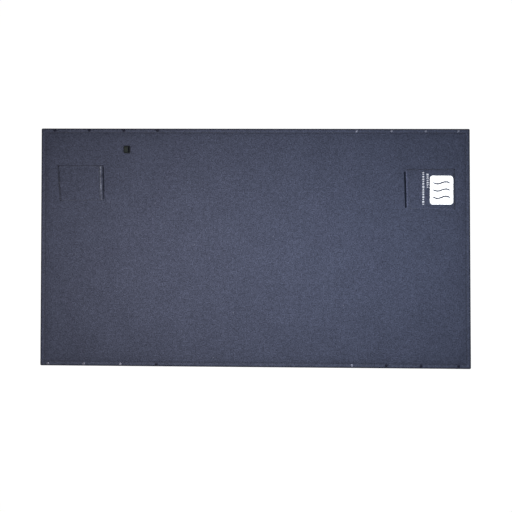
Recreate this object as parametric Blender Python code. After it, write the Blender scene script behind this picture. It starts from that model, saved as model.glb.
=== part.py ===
"""A wearable far-infrared heated blanket, lying flat with its pocket face up.

+X runs along its length, +Y across its width and +Z up. The floor is z = 0. Every size is in metres.
Two fleece covers are bagged out round a sheet of wadding and a heater scrim with carbon-fibre wires.
The blanket folds in half about a line across its middle, so each layer is a left and a right half.
"""

import math

import bmesh
import bpy
from mathutils import Matrix, Vector

# Overall size
LENGTH = 1.44
WIDTH = 0.80
CORNER = 0.004

# Clearances
GAP = 0.0003
FOLD_GAP = 0.0006
FOLD_RISE = 0.0015

# Layers of the quilt
COVER = 0.0020
WADDING = 0.0015
SCRIM = 0.0004
WIRE = 0.0014

# Bagged-out edge with its topstitched hem
HEM = 0.017
HEM_SLOPE = 0.010
EDGE_ROUND = 0.0006
LAYER_MARGIN = 0.002

# Press studs
SNAP_SEGMENTS = 14
SNAP_HOLE = 0.0018
SNAP_STEM = 0.0014
SNAP_BACK = 0.0011
SNAP_FLOOR = 0.0001
CAP_RADIUS = 0.0048
CAP_THICK = 0.0014
STUD_RADIUS = 0.0044
STUD_FLANGE = 0.0008
STUD_BALL = 0.0021
STUD_HEIGHT = 0.0024
SOCKET_RADIUS = 0.0042
TOP_LEFT_INSET = 0.0070
TOP_RIGHT_INSET = 0.0080
BOTTOM_LEFT_INSET = 0.0075
BOTTOM_RIGHT_INSET = 0.0095
# Distance of each press stud from the end of its edge, and whether its face is a cap or a stud
TOP_LEFT_SNAPS = ((0.044, "cap"), (0.161, "cap"), (0.2775, "cap"), (0.392, "cap"))
TOP_RIGHT_SNAPS = ((0.040, "stud"), (0.148, "stud"), (0.262, "stud"), (0.3785, "stud"))
BOTTOM_LEFT_SNAPS = ((0.029, "stud"), (0.150, "stud"), (0.2735, "stud"), (0.394, "cap"))
BOTTOM_RIGHT_SNAPS = ((0.039, "cap"), (0.1635, "cap"), (0.2785, "cap"), (0.392, "stud"))

# Patch pockets
POCKET_CLOTH = 0.0016
POCKET_ROOM = 0.0056
POCKET_FLANGE = 0.003
POCKET_SLOPE = 0.0035
POCKET_CORNER = 0.008
POWER_POCKET_END = 0.059
POWER_POCKET_LONG = 0.153
POWER_POCKET_TOP = 0.1265
POWER_POCKET_WIDE = 0.120
HAND_POCKET_END = 0.052
HAND_POCKET_LONG = 0.1625
HAND_POCKET_TOP = 0.134
HAND_POCKET_WIDE = 0.137

# Printed badge and two stripes on the hand pocket
PRINT = 0.0004
BADGE_END = 0.0065
BADGE_LONG = 0.0775
BADGE_TOP = 0.0235
BADGE_WIDE = 0.0965
BADGE_CORNER = 0.010
WAVES = 3
WAVE_WIDTH = 0.005
WAVE_HEIGHT = 0.006
WAVE_LENGTH = 0.046
STRIPE_GAP = 0.004
STRIPE_WIDTH = 0.008
STRIPE_STEP = 0.014
# Length of each stripe, and how far above the top of the badge it starts
STRIPES = ((0.047, 0.006), (0.110, 0.011))

# Controller, with its key and three indicator windows
CONTROLLER_END = 0.290
CONTROLLER_TOP = 0.0725
CONTROLLER_X = 0.0220
CONTROLLER_Y = 0.0240
CONTROLLER_CORNER = 0.0035
CONTROLLER_WALL = 0.0012
BASE_THICK = 0.0010
BOSS_RADIUS = 0.0025
HOUSING_HEIGHT = 0.0041
HOUSING_TOP = 0.0010
BOARD_THICK = 0.0008
KEY_RIM = 0.0009
KEY_RIM_THICK = 0.0006
KEY_CLEAR = 0.0006
KEY_END = 0.0044
KEY_PROUD = 0.0010
LIGHT_SIDE = 0.0046
LIGHT_END = 0.0044
LIGHT_RADIUS = 0.0009
LIGHT_BAR = 0.0026
LIGHT_THICK = 0.0008

# Power inlet at the closed end of the power pocket
INLET_LONG = 0.020
INLET_WIDE = 0.014
INLET_HIGH = 0.0044
INLET_ROUND = 0.0015
SOCKET_WIDE = 0.0090
SOCKET_HIGH = 0.0026
SOCKET_DEEP = 0.0065

# Heating circuit
WIRE_END = 0.120
RETURN_END = 0.105
WIRE_FOLD = 0.030
UPPER_RUN = 0.100
UPPER_RUNS = 6
UPPER_LAST = 0.050
LOWER_RUN = 0.100
LOWER_RUNS = 5
LOWER_FIRST = 0.060
CUTOFF_LONG = 0.012
CUTOFF_WIDE = 0.006

# Heights that follow from the sizes above
WADDING_Z = COVER + GAP
SCRIM_Z = WADDING_Z + WADDING + GAP
WIRE_Z = SCRIM_Z + SCRIM + GAP + WIRE / 2
FRONT_Z = WIRE_Z + WIRE / 2 + GAP
FACE = FRONT_Z + COVER
HEM_Z = SNAP_FLOOR + SNAP_BACK + GAP
HEM_SEAM = HEM_Z + COVER
HEM_FACE = HEM_SEAM + GAP + COVER
FOLD_Z = FACE + FOLD_RISE
POCKET_Z = FACE + GAP
POCKET_FACE = POCKET_Z + POCKET_ROOM + POCKET_CLOTH
LAYER_INSET = HEM + HEM_SLOPE + LAYER_MARGIN
CONTROLLER_AT = (CONTROLLER_END - LENGTH / 2, WIDTH / 2 - CONTROLLER_TOP)
POCKET_INSET = POCKET_FLANGE + POCKET_SLOPE
LIGHT_OFFSET = CONTROLLER_X / 2 - LIGHT_SIDE
LIGHT_STEP = CONTROLLER_Y / 2 - LIGHT_END
KEY_LOW = CONTROLLER_WALL + KEY_CLEAR - CONTROLLER_X / 2
KEY_HIGH = LIGHT_OFFSET - LIGHT_BAR / 2 - KEY_CLEAR
KEY_X = KEY_HIGH - KEY_LOW - 2 * KEY_RIM
KEY_Y = CONTROLLER_Y - 2 * KEY_END
KEY_OFFSET = (KEY_LOW + KEY_HIGH) / 2

SHEEN_NAVY = (0.075, 0.085, 0.135)
PLASTIC_BLACK = (0.020, 0.024, 0.024)


def new_collection(name):
    made = bpy.data.collections.new(name)
    bpy.context.scene.collection.children.link(made)
    return made


def clear_scene():
    for obj in list(bpy.data.objects):
        bpy.data.objects.remove(obj, do_unlink=True)


clear_scene()
PARTS = new_collection("heated_blanket")
CUTTERS = new_collection("heated_blanket_cutters")


def paint(obj, colour, roughness, metallic=0.0):
    material = bpy.data.materials.new(obj.name + "_finish")
    material.use_nodes = True
    shader = material.node_tree.nodes["Principled BSDF"]
    shader.inputs["Base Color"].default_value = (*colour, 1.0)
    shader.inputs["Roughness"].default_value = roughness
    shader.inputs["Metallic"].default_value = metallic
    material.diffuse_color = (*colour, 1.0)
    obj.data.materials.append(material)


def finish_mesh(name, shape, collection, at=(0.0, 0.0, 0.0)):
    """Makes an object from a bmesh, with its faces pointing out."""
    bmesh.ops.recalc_face_normals(shape, faces=shape.faces)
    mesh = bpy.data.meshes.new(name)
    shape.to_mesh(mesh)
    shape.free()
    obj = bpy.data.objects.new(name, mesh)
    obj.location = at
    collection.objects.link(obj)
    if collection is CUTTERS:
        obj.hide_render = True
        obj.display_type = "WIRE"
    return obj


def smooth(obj, angle=35.0):
    """Smooth shading with the sharp edges kept."""
    obj.data.polygons.foreach_set("use_smooth", [True] * len(obj.data.polygons))
    obj.data.set_sharp_from_angle(angle=math.radians(angle))


def cut(obj, cutter, operation="DIFFERENCE"):
    modifier = obj.modifiers.new(cutter.name, "BOOLEAN")
    modifier.operation = operation
    modifier.solver = "EXACT"
    modifier.object = cutter


def rounded_rectangle(size_x, size_y, radius, steps=4):
    """The outline of a rectangle about the origin with rounded corners."""
    points = []
    for corner, (sx, sy) in enumerate(((1, 1), (-1, 1), (-1, -1), (1, -1))):
        centre = Vector((sx * (size_x / 2 - radius), sy * (size_y / 2 - radius)))
        for step in range(steps + 1):
            angle = math.pi / 2 * (corner + step / steps)
            points.append(centre + radius * Vector((math.cos(angle), math.sin(angle))))
    return points


def add_prism(shape, outline, low, high):
    bottom = [shape.verts.new((x, y, low)) for x, y in outline]
    top = [shape.verts.new((x, y, high)) for x, y in outline]
    count = len(outline)
    for i in range(count):
        j = (i + 1) % count
        shape.faces.new((bottom[i], bottom[j], top[j], top[i]))
    shape.faces.new(list(reversed(bottom)))
    shape.faces.new(top)


def prism(name, outline, low, high, collection, at=(0.0, 0.0, 0.0)):
    shape = bmesh.new()
    add_prism(shape, outline, low, high)
    return finish_mesh(name, shape, collection, at)


def box_outline(x_low, x_high, y_low, y_high):
    return ((x_low, y_low), (x_high, y_low), (x_high, y_high), (x_low, y_high))


def circle(radius, segments, centre=(0.0, 0.0)):
    turns = [2 * math.pi * i / segments for i in range(segments)]
    return [(centre[0] + radius * math.cos(t), centre[1] + radius * math.sin(t)) for t in turns]


def lathe(name, profile, at, ring=False):
    """Turns (radius, height) points about Z. A solid's profile starts and ends on the axis."""
    shape = bmesh.new()
    rings = []
    for radius, height in profile:
        if radius == 0:
            rings.append([shape.verts.new((0, 0, height))])
            continue
        rings.append([shape.verts.new((x, y, height)) for x, y in circle(radius, SNAP_SEGMENTS)])
    pairs = list(zip(rings, rings[1:]))
    if ring:
        pairs.append((rings[-1], rings[0]))
    for first, second in pairs:
        for i in range(SNAP_SEGMENTS):
            j = (i + 1) % SNAP_SEGMENTS
            if len(first) == 1:
                shape.faces.new((first[0], second[i], second[j]))
            elif len(second) == 1:
                shape.faces.new((first[i], first[j], second[0]))
            else:
                shape.faces.new((first[i], first[j], second[j], second[i]))
    made = finish_mesh(name, shape, PARTS, at)
    smooth(made)
    return made


def tray_outline(x_open, x_shut, y_low, y_high, corner, inset):
    """Three sides of a rectangle, from the open side round and back to it, moved in by inset."""
    side = 1 if x_shut > x_open else -1
    x_out = x_shut - side * inset
    low, high = y_low + inset, y_high - inset
    radius = max(corner - inset, 0.0015)
    points = [(x_open, high)]
    for step in range(5):
        angle = math.pi / 8 * step
        reach = radius * (1 - math.sin(angle))
        drop = radius * (1 - math.cos(angle))
        points.append((x_out - side * reach, high - drop))
    for step in range(5):
        angle = math.pi / 8 * step
        reach = radius * (1 - math.cos(angle))
        rise = radius * (1 - math.sin(angle))
        points.append((x_out - side * reach, low + rise))
    points.append((x_open, low))
    return points


def tray(name, x_open, x_shut, y_low, y_high, corner, profile):
    """A cloth closed along three edges and open along the fourth.

    The profile holds (inset, height) pairs from the middle of the underside, round the edge, to the
    middle of the upper side.
    """
    shape = bmesh.new()
    loops = []
    for inset, height in profile:
        outline = tray_outline(x_open, x_shut, y_low, y_high, corner, inset)
        loops.append([shape.verts.new((x, y, height)) for x, y in outline])
    for first, second in zip(loops, loops[1:]):
        for i in range(len(first) - 1):
            shape.faces.new((first[i], first[i + 1], second[i + 1], second[i]))
    shape.faces.new(loops[0])
    shape.faces.new(loops[-1])
    shape.faces.new([loop[0] for loop in loops] + [loop[-1] for loop in reversed(loops)])
    made = finish_mesh(name, shape, PARTS)
    smooth(made, 25.0)
    return made


def filleted(corners, radius, steps=4):
    """A path through the corners, each of them turned with an arc."""
    path = [Vector(corners[0])]
    for before, here, after in zip(corners, corners[1:], corners[2:]):
        here = Vector(here)
        back = (Vector(before) - here).normalized()
        ahead = (Vector(after) - here).normalized()
        centre = here + radius * (back + ahead)
        for step in range(steps + 1):
            angle = math.pi / 2 * step / steps
            path.append(centre - radius * (math.sin(angle) * back + math.cos(angle) * ahead))
    path.append(Vector(corners[-1]))
    return path


def wire(name, corners, radius, thick=WIRE):
    """A round wire in the plane of the heater."""
    curve = bpy.data.curves.new(name, "CURVE")
    curve.dimensions = "3D"
    curve.bevel_depth = thick / 2
    curve.bevel_resolution = 1
    curve.use_fill_caps = True
    points = filleted(corners, radius)
    spline = curve.splines.new("POLY")
    spline.points.add(len(points) - 1)
    for point, place in zip(spline.points, points):
        point.co = (place.x, place.y, WIRE_Z, 1.0)
    obj = bpy.data.objects.new(name, curve)
    PARTS.objects.link(obj)
    return obj


def snaps():
    """(name, x, y, face) for each press stud."""
    found = []
    rows = (
        ("tl", -1, TOP_LEFT_SNAPS, WIDTH / 2 - TOP_LEFT_INSET),
        ("tr", 1, TOP_RIGHT_SNAPS, WIDTH / 2 - TOP_RIGHT_INSET),
        ("bl", -1, BOTTOM_LEFT_SNAPS, BOTTOM_LEFT_INSET - WIDTH / 2),
        ("br", 1, BOTTOM_RIGHT_SNAPS, BOTTOM_RIGHT_INSET - WIDTH / 2),
    )
    for row, side, places, y in rows:
        for number, (from_end, face) in enumerate(places, 1):
            found.append((f"snap_{row}{number}", side * (LENGTH / 2 - from_end), y, face))
    return found


def side_name(side):
    return "left" if side < 0 else "right"


def snap_holes(side):
    shape = bmesh.new()
    for _, x, y, _ in snaps():
        if x * side > 0:
            add_prism(shape, circle(SNAP_HOLE, 12, (x, y)), -COVER, FACE + COVER)
    return finish_mesh(f"snap_holes_{side_name(side)}", shape, CUTTERS)


def covers(side, holes):
    """The front and back fleece of one half, open at the fold."""
    half = (side * FOLD_GAP / 2, side * LENGTH / 2, -WIDTH / 2, WIDTH / 2, CORNER)
    back_profile = (
        (HEM + HEM_SLOPE, 0.0),
        (HEM, HEM_Z),
        (EDGE_ROUND, HEM_Z),
        (0.0, HEM_Z + EDGE_ROUND),
        (0.0, HEM_SEAM),
        (HEM, HEM_SEAM),
        (HEM + HEM_SLOPE, COVER),
    )
    front_profile = (
        (HEM + HEM_SLOPE, FRONT_Z),
        (HEM, HEM_SEAM + GAP),
        (0.0, HEM_SEAM + GAP),
        (0.0, HEM_FACE - EDGE_ROUND),
        (EDGE_ROUND, HEM_FACE),
        (HEM, HEM_FACE),
        (HEM + HEM_SLOPE, FACE),
    )
    back = tray(f"back_cover_{side_name(side)}", *half, back_profile)
    front = tray(f"front_cover_{side_name(side)}", *half, front_profile)
    for cover in (back, front):
        cut(cover, holes)
        paint(cover, SHEEN_NAVY, 0.95)
    return back, front


def layer(name, side, low, thick, colour):
    """A flat inner layer of one half."""
    near, far = side * FOLD_GAP / 2, side * (LENGTH / 2 - LAYER_INSET)
    y = WIDTH / 2 - LAYER_INSET
    outline = box_outline(min(near, far), max(near, far), -y, y)
    made = prism(name, outline, low, low + thick, PARTS)
    paint(made, colour, 0.9)
    return made


def inlet_x():
    return POWER_POCKET_END - LENGTH / 2 + POCKET_INSET + POCKET_CLOTH + GAP + INLET_LONG / 2


def inlet_y():
    return WIDTH / 2 - POWER_POCKET_TOP - POWER_POCKET_WIDE / 2


def heating_wires(side):
    """The upper and lower wire of one half, joined through a thermal cut-off."""
    lead_y = CONTROLLER_AT[1]
    start = lead_y - WIRE / 2 - GAP
    near, far = side * WIRE_FOLD, side * (LENGTH / 2 - WIRE_END)
    back_to_lead = side * (LENGTH / 2 - RETURN_END)
    top = WIDTH / 2 - UPPER_RUN
    pitch = (top - UPPER_LAST) / (UPPER_RUNS - 1)
    path = [(near, start)]
    for run in range(UPPER_RUNS):
        ends = (near, far) if run % 2 == 0 else (far, near)
        path += [(end, top - run * pitch) for end in ends]
    path.append((near, CUTOFF_WIDE / 2 + GAP))
    upper = wire(f"heating_wire_{side_name(side)}_upper", path, 0.02)
    bottom = WIDTH / 2 - LOWER_RUN
    pitch = (bottom - LOWER_FIRST) / (LOWER_RUNS - 1)
    path = [(near, -CUTOFF_WIDE / 2 - GAP)]
    for run in range(LOWER_RUNS):
        ends = (near, far) if run % 2 == 0 else (far, near)
        path += [(end, -LOWER_FIRST - run * pitch) for end in ends]
    path[-1] = (back_to_lead, path[-1][1])
    path.append((back_to_lead, start))
    lower = wire(f"heating_wire_{side_name(side)}_lower", path, 0.02)
    for made in (upper, lower):
        paint(made, (0.03, 0.03, 0.035), 0.6)
    return upper, lower


def thermal_cutoff(side):
    outline = rounded_rectangle(CUTOFF_LONG, CUTOFF_WIDE, 0.0015, 3)
    low, high = WIRE_Z - WIRE / 2, WIRE_Z + WIRE / 2
    at = (side * WIRE_FOLD, 0.0, 0.0)
    made = prism(f"thermal_cutoff_{side_name(side)}", outline, low, high, PARTS, at)
    paint(made, (0.55, 0.50, 0.42), 0.5)
    return made


def supply_lead(side):
    """The lead from the inlet past the controller to the far return wire, parted at the fold."""
    y = CONTROLLER_AT[1]
    fold = (side * FOLD_GAP / 2, y)
    if side < 0:
        corners = [(inlet_x(), inlet_y()), (inlet_x(), y), fold]
    else:
        corners = [fold, (LENGTH / 2 - RETURN_END + WIRE, y)]
    made = wire(f"supply_lead_{side_name(side)}", corners, 0.010)
    paint(made, (0.25, 0.02, 0.02), 0.5)
    return made


def pocket(name, x_open, x_shut, y_low, y_high):
    """A patch pocket stitched down round three edges, its cloth standing off the cover."""
    inner = POCKET_CLOTH / 2
    inside = POCKET_Z + POCKET_ROOM
    profile = (
        (POCKET_INSET + inner, inside),
        (POCKET_FLANGE + inner, POCKET_Z),
        (0.0, POCKET_Z),
        (0.0, POCKET_Z + POCKET_CLOTH * 0.7),
        (POCKET_CLOTH * 0.3, POCKET_Z + POCKET_CLOTH),
        (POCKET_FLANGE, POCKET_Z + POCKET_CLOTH),
        (POCKET_INSET, POCKET_FACE),
    )
    made = tray(name, x_open, x_shut, y_low, y_high, POCKET_CORNER, profile)
    paint(made, SHEEN_NAVY, 0.95)
    return made


def power_pocket():
    x_shut = POWER_POCKET_END - LENGTH / 2
    y_high = WIDTH / 2 - POWER_POCKET_TOP
    x_open = x_shut + POWER_POCKET_LONG
    return pocket("power_pocket", x_open, x_shut, y_high - POWER_POCKET_WIDE, y_high)


def hand_pocket():
    x_shut = LENGTH / 2 - HAND_POCKET_END
    y_high = WIDTH / 2 - HAND_POCKET_TOP
    x_open = x_shut - HAND_POCKET_LONG
    return pocket("hand_pocket", x_open, x_shut, y_high - HAND_POCKET_WIDE, y_high)


def wave_cutter(x, y):
    """A strip with the shape of a rising wave of heat."""
    steps = 12
    half = WAVE_WIDTH / 2
    line = []
    for step in range(steps + 1):
        share = step / steps
        line.append((share * WAVE_LENGTH - WAVE_LENGTH / 2, math.sin(2 * math.pi * share) * WAVE_HEIGHT))
    outline = [(x + u, y + v - half) for u, v in line]
    outline += [(x + u, y + v + half) for u, v in reversed(line)]
    return outline


def badge():
    """A plain rounded badge with three waves left open in it."""
    x_high = LENGTH / 2 - HAND_POCKET_END - BADGE_END
    y_high = WIDTH / 2 - HAND_POCKET_TOP - BADGE_TOP
    x, y = x_high - BADGE_LONG / 2, y_high - BADGE_WIDE / 2
    low = POCKET_FACE + GAP
    outline = rounded_rectangle(BADGE_LONG, BADGE_WIDE, BADGE_CORNER, 6)
    made = prism("pocket_badge", outline, low, low + PRINT, PARTS, (x, y, 0.0))
    shape = bmesh.new()
    pitch = BADGE_WIDE / (WAVES + 1)
    for wave in range(WAVES):
        at = (wave - (WAVES - 1) / 2) * pitch
        add_prism(shape, wave_cutter(x, y + at), low - PRINT, low + 2 * PRINT)
    cut(made, finish_mesh("badge_waves", shape, CUTTERS))
    paint(made, (0.80, 0.80, 0.80), 0.7)
    return made


def stripes():
    """Two plain printed stripes beside the badge."""
    x_high = LENGTH / 2 - HAND_POCKET_END - BADGE_END - BADGE_LONG
    y_high = WIDTH / 2 - HAND_POCKET_TOP - BADGE_TOP
    low = POCKET_FACE + GAP
    made = []
    for number, (length, rise) in enumerate(STRIPES, 1):
        x = x_high - STRIPE_GAP - (number - 1) * STRIPE_STEP - STRIPE_WIDTH
        outline = box_outline(x, x + STRIPE_WIDTH, y_high + rise - length, y_high + rise)
        stripe = prism(f"pocket_stripe_{number}", outline, low, low + PRINT, PARTS)
        paint(stripe, (0.40, 0.41, 0.45), 0.7)
        made.append(stripe)
    return made


def inlet():
    """A moulded socket lying in the power pocket, its mouth towards the pocket's own."""
    low = FACE + GAP
    x, y = inlet_x(), inlet_y()
    outline = rounded_rectangle(INLET_LONG, INLET_WIDE, INLET_ROUND, 3)
    made = prism("power_inlet", outline, low, low + INLET_HIGH, PARTS, (x, y, 0.0))
    shape = bmesh.new()
    add_prism(shape, circle(BOSS_RADIUS, 16, (x, y)), FRONT_Z, low + INLET_HIGH / 2)
    cut(made, finish_mesh("inlet_boss", shape, CUTTERS), "UNION")
    shape = bmesh.new()
    add_prism(shape, rounded_rectangle(SOCKET_WIDE, SOCKET_HIGH, SOCKET_HIGH / 2.2, 4), 0.0, 2 * SOCKET_DEEP)
    socket = finish_mesh("inlet_socket", shape, CUTTERS)
    turn = Matrix(((0, 0, 1), (1, 0, 0), (0, 1, 0))).to_4x4()
    place = Vector((x + INLET_LONG / 2 - SOCKET_DEEP, y, low + INLET_HIGH / 2))
    socket.data.transform(Matrix.Translation(place) @ turn)
    cut(made, socket)
    paint(made, PLASTIC_BLACK, 0.45)
    return made


def boss_holes():
    """The holes in the front cover under the controller and the inlet."""
    shape = bmesh.new()
    for place in (CONTROLLER_AT, (inlet_x(), inlet_y())):
        add_prism(shape, circle(BOSS_RADIUS + GAP, 16, place), FRONT_Z - GAP, FACE + GAP)
    return finish_mesh("boss_holes", shape, CUTTERS)


def controller_base():
    low = FACE + GAP
    outline = rounded_rectangle(CONTROLLER_X, CONTROLLER_Y, CONTROLLER_CORNER)
    made = prism("controller_base", outline, low, low + BASE_THICK, PARTS, (*CONTROLLER_AT, 0.0))
    shape = bmesh.new()
    add_prism(shape, circle(BOSS_RADIUS, 16, CONTROLLER_AT), FRONT_Z, low + BASE_THICK / 2)
    cut(made, finish_mesh("controller_boss", shape, CUTTERS), "UNION")
    paint(made, PLASTIC_BLACK, 0.6)
    return made


def controller_board():
    low = FACE + 2 * GAP + BASE_THICK
    inside = 2 * (CONTROLLER_WALL + GAP)
    outline = rounded_rectangle(CONTROLLER_X - inside, CONTROLLER_Y - inside, CONTROLLER_CORNER / 2)
    made = prism("controller_board", outline, low, low + BOARD_THICK, PARTS, (*CONTROLLER_AT, 0.0))
    paint(made, (0.02, 0.10, 0.04), 0.4)
    return made


def controller_housing():
    """The top shell, open below, with a key opening and three round windows."""
    x, y = CONTROLLER_AT
    low = FACE + 2 * GAP + BASE_THICK
    high = low + HOUSING_HEIGHT
    outline = rounded_rectangle(CONTROLLER_X, CONTROLLER_Y, CONTROLLER_CORNER)
    made = prism("controller_housing", outline, low, high, PARTS, (x, y, 0.0))
    inside = 2 * CONTROLLER_WALL
    shape = bmesh.new()
    room = rounded_rectangle(CONTROLLER_X - inside, CONTROLLER_Y - inside, CONTROLLER_CORNER / 2)
    add_prism(shape, [(x + u, y + v) for u, v in room], low - HOUSING_TOP, high - HOUSING_TOP)
    cut(made, finish_mesh("controller_room", shape, CUTTERS))
    shape = bmesh.new()
    opening = rounded_rectangle(KEY_X + 2 * GAP, KEY_Y + 2 * GAP, 0.0022)
    add_prism(shape, [(x + KEY_OFFSET + u, y + v) for u, v in opening], low, high + HOUSING_TOP)
    for step in (-1, 0, 1):
        window = circle(LIGHT_RADIUS + GAP, 12, (x + LIGHT_OFFSET, y + step * LIGHT_STEP))
        add_prism(shape, window, low, high + HOUSING_TOP)
    cut(made, finish_mesh("controller_windows", shape, CUTTERS))
    paint(made, PLASTIC_BLACK, 0.6)
    return made


def controller_key():
    """The soft key, held under the shell by a rim round its foot."""
    x, y = CONTROLLER_AT
    top = FACE + 2 * GAP + BASE_THICK + HOUSING_HEIGHT
    under = top - HOUSING_TOP - GAP
    at = (x + KEY_OFFSET, y, under)
    made = prism("controller_key", rounded_rectangle(KEY_X, KEY_Y, 0.0020), -KEY_RIM_THICK / 2,
                 HOUSING_TOP + GAP + KEY_PROUD, PARTS, at)
    shape = bmesh.new()
    rim = rounded_rectangle(KEY_X + 2 * KEY_RIM, KEY_Y + 2 * KEY_RIM, 0.0026)
    add_prism(shape, rim, -KEY_RIM_THICK, 0.0)
    cut(made, finish_mesh("key_rim", shape, CUTTERS, at), "UNION")
    paint(made, (0.026, 0.030, 0.030), 0.7)
    return made


def controller_lights():
    """One light guide with a pip under each window."""
    x, y = CONTROLLER_AT
    top = FACE + 2 * GAP + BASE_THICK + HOUSING_HEIGHT
    under = top - HOUSING_TOP - GAP
    at = (x + LIGHT_OFFSET, y, 0.0)
    long = 2 * LIGHT_STEP + LIGHT_BAR
    made = prism("controller_lights", rounded_rectangle(LIGHT_BAR, long, LIGHT_BAR / 3), under - LIGHT_THICK,
                 under, PARTS, at)
    shape = bmesh.new()
    for step in (-1, 0, 1):
        pip = circle(LIGHT_RADIUS, 12, (at[0], y + step * LIGHT_STEP))
        add_prism(shape, pip, under - LIGHT_THICK / 2, top)
    cut(made, finish_mesh("light_pips", shape, CUTTERS), "UNION")
    paint(made, (0.012, 0.014, 0.030), 0.25)
    return made


def snap_face(name, at, face):
    """The part of a press stud on the pocket side, with its stem through the hem."""
    foot = SNAP_FLOOR + SNAP_BACK / 2
    seat = HEM_FACE + GAP
    if face == "cap":
        profile = (
            (0.0, foot),
            (SNAP_STEM, foot),
            (SNAP_STEM, seat),
            (CAP_RADIUS, seat),
            (CAP_RADIUS, seat + CAP_THICK * 0.35),
            (CAP_RADIUS * 0.75, seat + CAP_THICK * 0.85),
            (0.0, seat + CAP_THICK),
        )
        made = lathe(f"{name}_cap", profile, at)
        paint(made, (0.018, 0.019, 0.024), 0.35)
        return made
    profile = (
        (0.0, foot),
        (SNAP_STEM, foot),
        (SNAP_STEM, seat),
        (STUD_RADIUS, seat),
        (STUD_RADIUS, seat + STUD_FLANGE),
        (STUD_BALL * 0.85, seat + STUD_FLANGE),
        (STUD_BALL, seat + STUD_HEIGHT * 0.7),
        (STUD_BALL * 0.7, seat + STUD_HEIGHT),
        (0.0, seat + STUD_HEIGHT),
    )
    made = lathe(f"{name}_stud", profile, at)
    paint(made, (0.60, 0.60, 0.62), 0.30, 1.0)
    return made


def snap_back(name, at, face):
    """The ring that holds the stem on the back of the hem."""
    bore = SNAP_STEM + GAP
    low, high = SNAP_FLOOR, SNAP_FLOOR + SNAP_BACK
    if face == "cap":
        profile = (
            (bore, high - SNAP_BACK * 0.6),
            (SOCKET_RADIUS * 0.6, high - SNAP_BACK * 0.6),
            (SOCKET_RADIUS * 0.65, low),
            (SOCKET_RADIUS * 0.95, low),
            (SOCKET_RADIUS, high),
            (bore, high),
        )
        made = lathe(f"{name}_socket", profile, at, ring=True)
    else:
        profile = (
            (bore, low),
            (SOCKET_RADIUS * 0.9, low),
            (SOCKET_RADIUS, low + SNAP_BACK * 0.4),
            (SOCKET_RADIUS, high),
            (bore, high),
        )
        made = lathe(f"{name}_post", profile, at, ring=True)
    paint(made, (0.60, 0.60, 0.62), 0.30, 1.0)
    return made


def follow_fold(objects):
    """Everything on the right of the fold turns about an empty on the fold's axis."""
    axis = bpy.data.objects.new("fold_axis", None)
    axis.location = (0.0, 0.0, FOLD_Z)
    axis.empty_display_size = 0.05
    PARTS.objects.link(axis)
    for obj in objects:
        obj.parent = axis
        obj.matrix_parent_inverse = Matrix.Translation((0.0, 0.0, -FOLD_Z))


def build_half(side):
    name = side_name(side)
    holes = snap_holes(side)
    back, front = covers(side, holes)
    made = [back, front]
    made.append(layer(f"wadding_{name}", side, WADDING_Z, WADDING, (0.70, 0.70, 0.68)))
    made.append(layer(f"heater_scrim_{name}", side, SCRIM_Z, SCRIM, (0.30, 0.30, 0.31)))
    made.extend(heating_wires(side))
    made.append(thermal_cutoff(side))
    made.append(supply_lead(side))
    for snap, x, y, face in snaps():
        if x * side > 0:
            made.append(snap_face(snap, (x, y, 0.0), face))
            made.append(snap_back(snap, (x, y, 0.0), face))
    if side < 0:
        cut(front, boss_holes())
        made.append(power_pocket())
        made.append(inlet())
        made.extend((controller_base(), controller_board(), controller_housing()))
        made.extend((controller_key(), controller_lights()))
    else:
        made.append(hand_pocket())
        made.append(badge())
        made.extend(stripes())
    return made


build_half(-1)
follow_fold(build_half(1))
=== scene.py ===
"""Looks for the wearable heated blanket: fleece covers, pockets, press studs, controller and studio."""

import math

import bpy
import numpy as np
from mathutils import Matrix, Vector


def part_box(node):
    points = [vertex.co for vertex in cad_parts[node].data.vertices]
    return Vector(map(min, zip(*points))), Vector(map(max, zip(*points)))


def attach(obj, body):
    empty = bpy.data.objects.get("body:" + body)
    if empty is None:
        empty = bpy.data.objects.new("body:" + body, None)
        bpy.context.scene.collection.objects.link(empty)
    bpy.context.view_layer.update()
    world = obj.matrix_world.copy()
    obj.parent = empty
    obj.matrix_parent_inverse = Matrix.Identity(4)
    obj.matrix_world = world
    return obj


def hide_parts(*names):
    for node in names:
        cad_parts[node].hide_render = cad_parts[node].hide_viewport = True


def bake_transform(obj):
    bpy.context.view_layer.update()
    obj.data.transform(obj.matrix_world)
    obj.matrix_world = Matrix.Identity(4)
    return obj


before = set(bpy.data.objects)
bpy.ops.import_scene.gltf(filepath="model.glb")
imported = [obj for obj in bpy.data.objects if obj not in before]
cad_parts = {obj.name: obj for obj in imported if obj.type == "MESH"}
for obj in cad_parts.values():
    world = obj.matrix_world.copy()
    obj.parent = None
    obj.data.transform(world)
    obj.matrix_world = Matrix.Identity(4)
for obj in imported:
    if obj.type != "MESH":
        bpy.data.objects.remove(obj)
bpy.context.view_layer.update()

MM = 0.001

# ---- places read from the CAD
FRONT_L, FRONT_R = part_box("front_cover_left"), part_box("front_cover_right")
X_LOW, X_HIGH = FRONT_L[0].x, FRONT_R[1].x
Y_LOW, Y_HIGH = FRONT_L[0].y, FRONT_L[1].y
FACE = FRONT_L[1].z
SEAM_FRONT, SEAM_BACK = FRONT_L[0].z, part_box("back_cover_left")[1].z
CORNER = 4 * MM
SKEW, SKEW_REACH = -0.0055, 0.3  # the ends lean by SKEW, in full from SKEW_REACH metres off the middle
SNAPS = sorted(n[:-len("_cap")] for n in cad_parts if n.startswith("snap_") and n.endswith("_cap"))
STUDS = sorted(n[:-len("_stud")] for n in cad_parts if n.startswith("snap_") and n.endswith("_stud"))


def centre(node):
    low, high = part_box(node)
    return (low + high) / 2


def plan_box(node):
    """The middle and the size of a CAD node as seen from above."""
    low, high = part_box(node)
    return ((low.x + high.x) / 2, (low.y + high.y) / 2), (high.x - low.x, high.y - low.y)


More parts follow.
